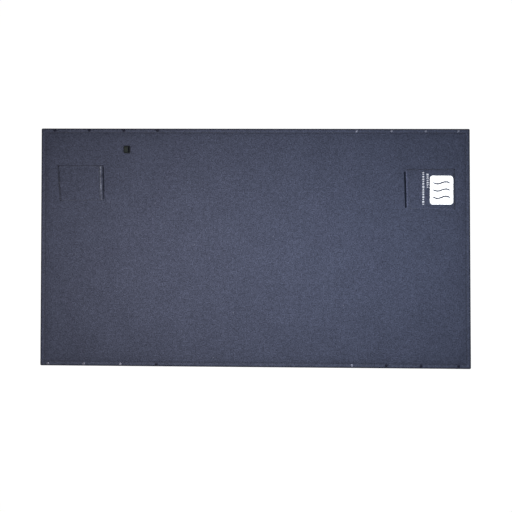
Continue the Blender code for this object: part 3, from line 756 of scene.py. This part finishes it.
def pocket_cloth(name, node_name, pocket, hem):
    """The pocket's cloth, with its mouth edge turned under and sewn as a hem."""
    edge = np.array([0, 0.4, 0.9, 1.5, 2.2, 3.2, 4.5, 6.5, 9, 12, 16]) * MM
    mouth = np.array([0, 0.35, 0.9, 1.8, 3.0, 4.5, 6.0, 7.2, 8.0, 9.0, 11, 14]) * MM
    middle_v = np.linspace(21 * MM, pocket.wide - 21 * MM, 24)
    middle_u = np.linspace(18 * MM, pocket.long - 20 * MM, 30)
    across = np.concatenate([edge, middle_v, pocket.wide - edge[::-1]])
    along = np.concatenate([mouth, middle_u, pocket.long - edge[::-1]])
    u, v = np.meshgrid(along / pocket.long, across / pocket.wide, indexing="ij")
    reach = u * pocket.long
    top = pocket.rise(u, v)
    thick = POCKET_CLOTH + HEM_EXTRA * smoothstep((hem + 1.5 * MM - reach) / (2.5 * MM))
    dip = HEM_DIP * np.exp(-(((reach - hem) / (1.4 * MM)) ** 2))
    roll = np.maximum(rolled(reach, 1.8 * MM), 0.02)
    middle = top - thick / 2
    upper = middle + (top + HEM_RISE * smoothstep((hem - reach) / (3 * MM)) - dip - middle) * roll
    lower = middle - (middle - (top - thick)) * roll
    lower = np.maximum(lower, FACE + 0.25 * MM)
    upper = np.maximum(upper, lower + 0.05 * MM)
    plan = np.stack(pocket.plan(u, v), 2)
    made = closed_sheet(name, plan, upper, lower, POCKET_FLEECE, pocket.shade(u, v))
    if pocket.mouth_high:
        made.data.flip_normals()
    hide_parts(node_name)
    return made


def pocket_seams(name, pocket, hem, body):
    """Edge stitching round the three closed sides and across the hem."""
    a, b = 2.3 * MM / pocket.long, 2.3 * MM / pocket.wide
    steps = np.linspace(0, 1, 30)
    outline = [(t * (1 - a), b) for t in steps] + [(1 - a, b + t * (1 - 2 * b)) for t in steps[1:]]
    outline += [((1 - a) * (1 - t), 1 - b) for t in steps[1:]]
    path = [[float(c) for c in pocket.plan(np.float64(u), np.float64(v))] for u, v in outline]
    across = [
        [float(c) for c in pocket.plan(np.float64(hem / pocket.long), np.float64(b + t * (1 - 2 * b)))]
        for t in steps
    ]
    made = seam_line(name, [path, across], pocket.height, 3.4 * MM, 2.6 * MM, 0.34 * MM, lift=0.12 * MM)
    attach(made, body)
    return made


inlet_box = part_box("power_inlet")
# painted shadow under the mouth, painted shade along the seams and a painted highlight beside the upper seam
power = Pocket(
    "power_pocket", True, ((1.7, 2.2), (-2.1, 0.9), (4.7, 0.0), (-4.1, -0.1)),
    (
        ((0, -0.50), (2.4, -0.40), (4.5, 0.0), (12, 0.0), (13.5, -0.15), (16, 0.0)),
        ((0, -0.42), (4.0, -0.34), (8.0, 0.0)),
        ((0, -0.14), (2.5, -0.08), (5.0, 0.0)),
        ((0, -0.30), (2.2, -0.20), (4.0, 0.12), (6.5, 0.16), (10, 0.0)),
    ),
    lump=inlet_box,
)
# a painted highlight on the mouth's lip and painted shade along the seams
hand = Pocket(
    "hand_pocket", False, ((2.2, 1.0), (-2.0, -1.5), (0.6, -0.9), (-0.5, -0.2)),
    (
        ((0, 0.55), (2.4, 0.50), (4.5, 0.0), (10, 0.0), (11, -0.10), (13, 0.0)),
        ((0, -0.50), (3.6, -0.40), (6.0, 0.0)),
        ((0, -0.05), (2.2, 0.10), (6.0, 0.0)),
        ((0, -0.32), (3.0, -0.26), (6.5, 0.0)),
    ),
)
POWER_HEM, HAND_HEM = 13.5 * MM, 11 * MM
power_cloth = pocket_cloth("power_pocket_cloth", "power_pocket", power, POWER_HEM)
hand_cloth = pocket_cloth("hand_pocket_cloth", "hand_pocket", hand, HAND_HEM)
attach(power_cloth, "left_half")
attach(hand_cloth, "right_half")
power_seams = pocket_seams("power_pocket_stitching", power, POWER_HEM, "left_half")
hand_seams = pocket_seams("hand_pocket_stitching", hand, HAND_HEM, "right_half")


def mouth_strip(name, pocket, start, end, height, thick, material, body, margins, wobble):
    """A strip of cloth along a pocket's mouth, between two distances in from its edge.

    margins are left free at its two ends, and its edges wander by the wobble.
    """
    across = np.linspace(margins[0], pocket.wide - margins[1], 60)
    share = np.array([0, 0.05, 0.2, 0.45, 0.7, 0.9, 1.0])
    share, v = np.meshgrid(share, across / pocket.wide, indexing="ij")
    y = v * pocket.wide
    near = start + wobble * ripple(y, 0 * y, (0.012, 0.05), 41)
    far = end + wobble * ripple(y, 0 * y, (0.010, 0.04), 42)
    u = (near + (far - near) * share) / pocket.long
    crown = np.sqrt(np.clip(1 - (2 * share - 1) ** 2, 0, 1))
    base = height(u, v)
    plan = np.stack(pocket.plan(u, v), 2)
    # painted lighter and darker stretches along the strip
    wear_and_painted_shade = PAINTED_STRIP_SHADE * wobble * ripple(y, 0 * y, (0.014, 0.06), 43)
    made = closed_sheet(name, plan, base + thick * np.maximum(crown, 0.05), base, material, wear_and_painted_shade)
    if pocket.mouth_high:
        made.data.flip_normals()
    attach(made, body)
    return made


def on_cover(u, v):
    return FACE + 0.35 * MM + 0 * u


def on_power_pocket(u, v):
    return power.rise(u, v) - 0.15 * MM


# a raised strip along the power pocket's hem, coloured light as a painted highlight
power_hem_highlight = mouth_strip(
    "power_pocket_tape", power, 6.8 * MM, 10.4 * MM, on_power_pocket, 1.1 * MM,
    HEM_HIGHLIGHT_FLEECE, "left_half", margins=(2.5 * MM, 2.5 * MM), wobble=1.0 * MM,
)
# a near-black strip under the power pocket's mouth as a painted shadow
power_mouth_shadow = mouth_strip(
    "power_pocket_facing", power, -1.4 * MM, 9 * MM, on_cover, 0.5 * MM,
    MOUTH_SHADOW_FLEECE, "left_half", margins=(7 * MM, 6 * MM), wobble=0.3 * MM,
)
# a near-black strip under the hand pocket's mouth as a painted shadow
hand_mouth_shadow = mouth_strip(
    "hand_pocket_facing", hand, -5.6 * MM, 10 * MM, on_cover, 0.5 * MM,
    MOUTH_SHADOW_FLEECE, "right_half", margins=(5 * MM, 9 * MM), wobble=0.4 * MM,
)


# ---- print on the hand pocket
def print_piece(name, node_name, strips, material, slot):
    """Ink patches over the hand pocket. Each strip is a list of (x, ys) rows, each joined to the next one."""
    lift, thick = 0.12 * MM, 0.30 * MM
    points, faces = [], []
    for strip in strips:
        plan = [(x, y) for x, ys in strip for y in ys]
        base = [float(hand.height(np.float64(x), np.float64(y))) + lift for x, y in plan]
        faces += list(closed_faces(len(strip), len(strip[0][1]), len(points)))
        points += [(x, y, z + thick) for (x, y), z in zip(plan, base)]
        points += [(x, y, z) for (x, y), z in zip(plan, base)]
    stands_for(new_object(name, points, faces, material), "right_half", slot, node_name)


def badge():
    """A rounded white badge with three rising waves of bare cloth across it."""
    (x_mid, y_mid), size = plan_box("pocket_badge")
    half_x, half_y = size[0] / 2, size[1] / 2
    radius = 10 * MM
    wave_half, wave_rise, waves = 2.2 * MM, 3.5 * MM, 3
    wave_end, wave_fade = 9 * MM, 4 * MM
    pitch = 2 * half_y / (waves + 1)
    share = np.sin(np.linspace(-math.pi / 2, math.pi / 2, 61))
    xs = x_mid + half_x * share
    strips = []
    for band in range(waves + 1):
        strip = []
        for x in xs:
            over = max(abs(x - x_mid) - (half_x - radius), 0)
            reach = half_y - radius + math.sqrt(max(radius**2 - over**2, 0))
            wave = wave_rise * math.sin(2 * math.pi * (x - x_mid) / (1.4 * half_x))
            ends = []
            for edge in (band, band + 1):
                if edge in (0, waves + 1):
                    ends.append(-reach if edge == 0 else reach)
                else:
                    middle = (edge - (waves + 1) / 2) * pitch + wave
                    gap = wave_half * min(1.0, max(0.0, (half_x - wave_end - abs(x - x_mid)) / wave_fade))
                    ends.append(middle + (gap if edge == band else -gap))
            bottom, top = ends
            bottom, top = max(bottom, -reach), min(top, reach)
            top = max(top, bottom + 0.02 * MM)
            strip.append((x, y_mid + np.linspace(bottom, top, 7)))
        strips.append(strip)
    print_piece("badge_print", "pocket_badge", strips, WHITE_PRINT, "print_white")


DASH_TALL, DASH_GAP, DASH_INSET = (2.4, 6.0), (1.6, 3.4), (0.2, 1.8)  # millimetres


def dashes(name, node_name, seed):
    """A plain column of short printed dashes."""
    low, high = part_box(node_name)
    draw = np.random.default_rng(seed)
    strips = []
    y = high.y
    while y > low.y + 2 * MM:
        tall = min(draw.uniform(*DASH_TALL) * MM, y - low.y)
        inset = draw.uniform(*DASH_INSET) * MM
        x0, x1 = low.x + inset, high.x - inset
        corner = min(1.0 * MM, tall / 3)
        straight = np.linspace(x0 + corner, x1 - corner, 4)
        strip = []
        for x in np.concatenate([[x0, x0 + corner / 3], straight, [x1 - corner / 3, x1]]):
            over = max(abs(x - (x0 + x1) / 2) - ((x1 - x0) / 2 - corner), 0)
            cut = corner - math.sqrt(max(corner**2 - over**2, 0))
            strip.append((x, np.linspace(y - tall + cut, y - cut, 4)))
        strips.append(strip)
        y -= tall + draw.uniform(*DASH_GAP) * MM
    print_piece(name, node_name, strips, GREY_PRINT, "print_grey")


badge()
dashes("dashes_short", "pocket_stripe_1", 31)
dashes("dashes_long", "pocket_stripe_2", 32)


# ---- turned and moulded pieces
def lathe(name, profile, at, material, sides=32):
    """Turns (radius, height) points about an upright axis. The profile starts and ends on the axis."""
    turns = 2 * math.pi * np.arange(sides) / sides
    points, rings, faces = [], [], []
    for radius, height in profile:
        start = len(points)
        if radius == 0:
            points.append((at[0], at[1], height))
            rings.append([start])
            continue
        points += [(at[0] + radius * math.cos(t), at[1] + radius * math.sin(t), height) for t in turns]
        rings.append(list(range(start, start + sides)))
    for first, second in zip(rings, rings[1:]):
        for k in range(sides):
            n = (k + 1) % sides
            if len(first) == 1:
                faces.append((first[0], second[n], second[k]))
            elif len(second) == 1:
                faces.append((first[k], first[n], second[0]))
            else:
                faces.append((first[k], first[n], second[n], second[k]))
    return new_object(name, points, faces, material)


def arc(centre_r, centre_z, radius, start, end, steps=5):
    angles = np.radians(np.linspace(start, end, steps))
    return [(centre_r + radius * math.cos(a), centre_z + radius * math.sin(a)) for a in angles]


SHANK, SHANK_LONG = 1.4 * MM, 0.6 * MM


def snap_foot(seat, reach):
    """The shank under a press stud's face, and the underside of the face out to the reach."""
    return [(0.0, seat - SHANK_LONG), (SHANK, seat - SHANK_LONG), (SHANK, seat), (reach, seat)]


def snap_cap(low, high, radius):
    """A painted cap: a rolled rim round a low dome."""
    seat = high.z - 1.4 * MM
    profile = snap_foot(seat, radius - 0.5 * MM)
    profile += arc(radius - 0.45 * MM, seat + 0.45 * MM, 0.45 * MM, -90, 60, 6)
    profile += [(radius * 0.86, seat + 0.80 * MM), (radius * 0.80, seat + 0.78 * MM)]
    for share in (0.70, 0.55, 0.38, 0.20):
        profile.append((radius * share, seat + 0.80 * MM + 0.58 * MM * (1 - (share / 0.8) ** 2)))
    profile.append((0.0, high.z))
    return profile


def snap_stud(low, high, radius):
    """A bare stud: a rolled flange, and a necked post with a round head."""
    seat = high.z - 2.4 * MM
    profile = snap_foot(seat, radius - 0.4 * MM)
    profile += arc(radius - 0.35 * MM, seat + 0.35 * MM, 0.35 * MM, -90, 90, 7)
    profile += [(radius * 0.78, seat + 0.50 * MM), (radius * 0.60, seat + 0.48 * MM)]
    profile += [(2.3 * MM, seat + 0.75 * MM), (1.75 * MM, seat + 1.1 * MM), (1.8 * MM, seat + 1.4 * MM)]
    profile += arc(1.5 * MM, seat + 1.75 * MM, 0.62 * MM, -20, 90, 6)
    profile += [(0.9 * MM, high.z - 0.05 * MM), (0.6 * MM, high.z - 0.25 * MM), (0.0, high.z - 0.3 * MM)]
    return profile


def snap_under(low, high, radius, socket):
    """The back ring: a socket with a sprung mouth, or the plain flange of a post."""
    profile = [(0.0, high.z), (radius - 0.3 * MM, high.z)]
    profile += arc(radius - 0.3 * MM, high.z - 0.3 * MM, 0.3 * MM, 90, 0, 4)
    profile += arc(radius - 0.35 * MM, low.z + 0.35 * MM, 0.35 * MM, 0, -90, 4)
    if socket:
        mouth, floor = 2.2 * MM, low.z + (high.z - low.z) * 0.7
        profile += [(radius * 0.66, low.z), (radius * 0.60, low.z + 0.12 * MM)]
        profile += [(2.35 * MM, low.z + 0.30 * MM), (mouth, low.z + 0.5 * MM), (mouth, floor), (0.0, floor)]
    else:
        pit = low.z + 0.35 * MM
        profile += [(radius * 0.55, low.z), (radius * 0.45, low.z + 0.18 * MM)]
        profile += [(radius * 0.30, low.z + 0.10 * MM), (1.0 * MM, pit), (0.0, pit)]
    return profile[::-1]


def snap_piece(node, ending, profile, material, slot, *more):
    """Turns one part of a press stud to the profile made for its CAD node."""
    low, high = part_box(node)
    made = lathe(node + ending, profile(low, high, (high.x - low.x) / 2, *more), centre(node), material)
    stands_for(made, "left_half" if node[6] == "l" else "right_half", slot, node)


for snap in SNAPS:
    snap_piece(snap + "_cap", "_face", snap_cap, CAP, "dark_cap")
    snap_piece(snap + "_socket", "_ring", snap_under, STEEL, "bare_metal", True)
for snap in STUDS:
    snap_piece(snap + "_stud", "_face", snap_stud, AGED, "bare_metal")
    snap_piece(snap + "_post", "_ring", snap_under, STEEL, "bare_metal", False)


def rounded_outline(size_x, size_y, radius, at=(0.0, 0.0), steps=8):
    radius = max(min(radius, size_x / 2 - 1e-5, size_y / 2 - 1e-5), 1e-5)
    points = []
    for corner, (sx, sy) in enumerate(((1, 1), (-1, 1), (-1, -1), (1, -1))):
        for step in range(steps + 1):
            angle = math.pi / 2 * (corner + step / steps)
            x = sx * (size_x / 2 - radius) + radius * math.cos(angle)
            y = sy * (size_y / 2 - radius) + radius * math.sin(angle)
            points.append((at[0] + x, at[1] + y))
    return points


def loft(name, rings, material, ring_shaped=False):
    """Skins a list of (outline, height) rings, capped at both ends or joined end to start."""
    points = [(x, y, height) for outline, height in rings for x, y in outline]
    sides = len(rings[0][0])
    if ring_shaped:
        faces = ring_quads([(i, (i + 1) % len(rings)) for i in range(len(rings))], sides)
    else:
        faces = tube_faces(len(rings), sides)
    made = new_object(name, points, faces, material)
    made.data.set_sharp_from_angle(angle=math.radians(38))
    return made


def shrunk(size_x, size_y, radius, by, at):
    return rounded_outline(size_x - 2 * by, size_y - 2 * by, max(radius - by, 0.2 * MM), at)


CASE_CORNER, CASE_FILLET = 3.5 * MM, 1.1 * MM
KEY_CORNER, KEY_FLANGE, KEY_GAP = 2.0 * MM, 0.9 * MM, 0.35 * MM


def key_plan():
    """The middle of the key, and the size of what stands up through the shell."""
    at, size = plan_box("controller_key")
    return at, (size[0] - 2 * KEY_FLANGE, size[1] - 2 * KEY_FLANGE)


def controller_shell():
    """A shell with a rounded rim, and an opening with a broken edge round the key."""
    low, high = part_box("controller_housing")
    at, size = plan_box("controller_housing")
    key_at, key_size = key_plan()

    def outer(by, height):
        return shrunk(*size, CASE_CORNER, by, at), height

    def opening(by, height):
        grown = 2 * (KEY_GAP + by)
        return rounded_outline(key_size[0] + grown, key_size[1] + grown, 2.4 * MM + by, key_at), height

    draft, rim = 0.05 * MM, high.z - CASE_FILLET
    rings = [outer(1.2 * MM, low.z), outer(0.25 * MM, low.z), outer(0.0, low.z + 0.3 * MM), outer(draft, rim)]
    for angle in np.radians((20, 40, 60, 80)):
        rings.append(outer(draft + CASE_FILLET * (1 - math.cos(angle)), rim + CASE_FILLET * math.sin(angle)))
    rings += [outer(CASE_FILLET + 0.5 * MM, high.z), opening(0.35 * MM, high.z)]
    rings += [opening(0.08 * MM, high.z - 0.12 * MM), opening(0.0, high.z - 0.4 * MM)]
    rings += [opening(0.0, high.z - 0.9 * MM), outer(1.3 * MM, high.z - 1.0 * MM)]
    shell = loft("controller_shell", rings, SHELL, ring_shaped=True)
    stands_for(shell, "left_half", "black_plastic", "controller_housing")


def key_cap():
    """A rubber key: a flange under the shell, a rounded rim and a dished top."""
    low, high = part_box("controller_key")
    at, size = key_plan()
    fillet, shoulder = 0.6 * MM, high.z - 0.75 * MM
    lip = low.z + 0.55 * MM
    flange = rounded_outline(size[0] + 2 * KEY_FLANGE, size[1] + 2 * KEY_FLANGE, 2.6 * MM, at)
    side = rounded_outline(*size, KEY_CORNER, at)
    rings = [(flange, low.z), (flange, lip), (side, lip + 0.02 * MM), (side, shoulder)]
    for angle in np.radians((25, 50, 75)):
        by = fillet * (1 - math.cos(angle))
        rings.append((shrunk(*size, KEY_CORNER, by, at), shoulder + fillet * math.sin(angle)))
    for by, sunk in ((1.6, 0.06), (3.0, 0.02), (3.6, 0.22)):
        rings.append((shrunk(*size, KEY_CORNER, by * MM, at), high.z - sunk * MM))
    stands_for(loft("key_cap", rings, KEY), "key", "key_rubber", "controller_key")


def controller_plate():
    """The base plate under the shell, with its stem through the cover."""
    low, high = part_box("controller_base")
    at, size = plan_box("controller_housing")
    stem, flat = 2.5 * MM, high.z - 1.0 * MM
    stem_outline = rounded_outline(2 * stem, 2 * stem, stem - 0.01 * MM, at)
    rings = [(stem_outline, low.z), (stem_outline, flat)]
    for by, height in (
        (0.35, flat), (0.0, flat + 0.3 * MM), (0.0, high.z - 0.25 * MM), (0.25, high.z),
    ):
        rings.append((shrunk(*size, CASE_CORNER, by * MM, at), height))
    stands_for(loft("controller_plate", rings, BASE), "left_half", "black_plastic", "controller_base")


def controller_lights():
    """The light guide inside, the smoked strip over it and the three lenses in the strip."""
    low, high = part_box("controller_lights")
    at, bar = plan_box("controller_lights")
    outline = rounded_outline(*bar, 0.8 * MM, at)
    guide = loft("light_guide", [(outline, low.z), (outline, high.z - 1.4 * MM)], LENS)
    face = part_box("controller_housing")[1].z
    window = (3.6 * MM, plan_box("controller_housing")[1][1] - 3.4 * MM)
    sill = (at[0] + 0.2 * MM, at[1])
    edge = rounded_outline(*window, 1.2 * MM, sill)
    strip = loft("light_strip", [
        (edge, face - 0.3 * MM), (edge, face + 0.06 * MM),
        (shrunk(*window, 1.2 * MM, 0.15 * MM, sill), face + 0.15 * MM),
    ], LENS)
    radius, apart = 1.35 * MM, (bar[1] - bar[0]) / 2
    profile = [(0.0, high.z - 0.8 * MM), (radius, high.z - 0.8 * MM), (radius, high.z + 0.02 * MM)]
    profile += [(radius * 0.9, high.z + 0.16 * MM), (radius * 0.6, high.z + 0.26 * MM)]
    profile.append((0.0, high.z + 0.30 * MM))
    domes = [
        lathe(f"lens_{number + 2}", profile, (at[0], at[1] + number * apart), LENS, 20)
        for number in (-1, 0, 1)
    ]
    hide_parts("controller_lights")
    for obj in [guide, strip, *domes]:
        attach(obj, "left_half")


controller_shell()
key_cap()
controller_plate()
controller_lights()


# ---- materials of the CAD pieces kept as they are
KEPT = {"controller_board": BOARD, "power_inlet": INLET, "heating_wire": WIRE, "thermal_cutoff": CUTOFF}
for name, kept_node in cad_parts.items():
    for start, material in KEPT.items():
        if name.startswith(start):
            kept_node.data.materials.clear()
            kept_node.data.materials.append(material)


# ---- studio
WHITE = (1.0, 1.0, 1.0, 1.0)


def studio_floor():
    """White paper that gives off its own light, just under the blanket."""
    half, height, lines_each_way = 30.0, -0.0006, 13
    places = np.linspace(-half, half, lines_each_way)
    points = [(x, y, height) for x in places for y in places]
    faces = grid_faces(lines_each_way, lines_each_way)
    paper, _, shader = new_material("floor_paper", (0.12, 0.12, 0.12), 1.0, specular=0.0)
    put(shader, Emission_Color=WHITE, Emission_Strength=0.93)
    new_object("studio_floor", points, faces, paper)


def area_light(name, at, size, power, colour):
    data = bpy.data.lights.new(name, "AREA")
    data.shape = "RECTANGLE"
    data.size, data.size_y = size
    data.energy = power
    data.color = colour
    light = bpy.data.objects.new(name, data)
    light.location = at
    light.visible_camera = False
    bpy.context.scene.collection.objects.link(light)


def studio_world():
    """Soft light from all round, in front of a white backdrop that only the camera sees."""
    world = bpy.data.worlds.new("studio")
    world.use_nodes = True
    tree = world.node_tree
    room = put(tree.nodes["Background"], Color=WHITE, Strength=0.31)
    paper = node(tree, "Background", Color=WHITE, Strength=1.0)
    seen = node(tree, "LightPath")
    either = node(tree, "MixShader")
    join(seen.outputs["Is Camera Ray"], either.inputs[0])
    join(room.outputs[0], either.inputs[1])
    join(paper.outputs[0], either.inputs[2])
    join(either.outputs[0], tree.nodes["World Output"].inputs["Surface"])
    bpy.context.scene.world = world


def studio():
    studio_floor()
    studio_world()
    area_light("softbox_left", (-0.345, -0.035, 0.75), (0.78, 0.42), 9.6, (1.08, 1.0, 0.93))
    area_light("softbox_right", (0.430, -0.035, 0.76), (0.81, 0.42), 9.9, (0.93, 1.0, 1.07))
    camera = bpy.data.cameras.new("camera")
    camera.lens = 50.0
    camera.sensor_width = 36.0
    view = bpy.data.objects.new("camera", camera)
    view.location = (0.0610, -0.0731, 2.3870)
    view.rotation_euler = tuple(math.radians(a) for a in (1.085, 1.31, 0.327))
    bpy.context.scene.collection.objects.link(view)
    bpy.context.scene.camera = view
    bpy.context.scene.view_settings.view_transform = "Standard"
    bpy.context.scene.view_settings.look = "None"


studio()
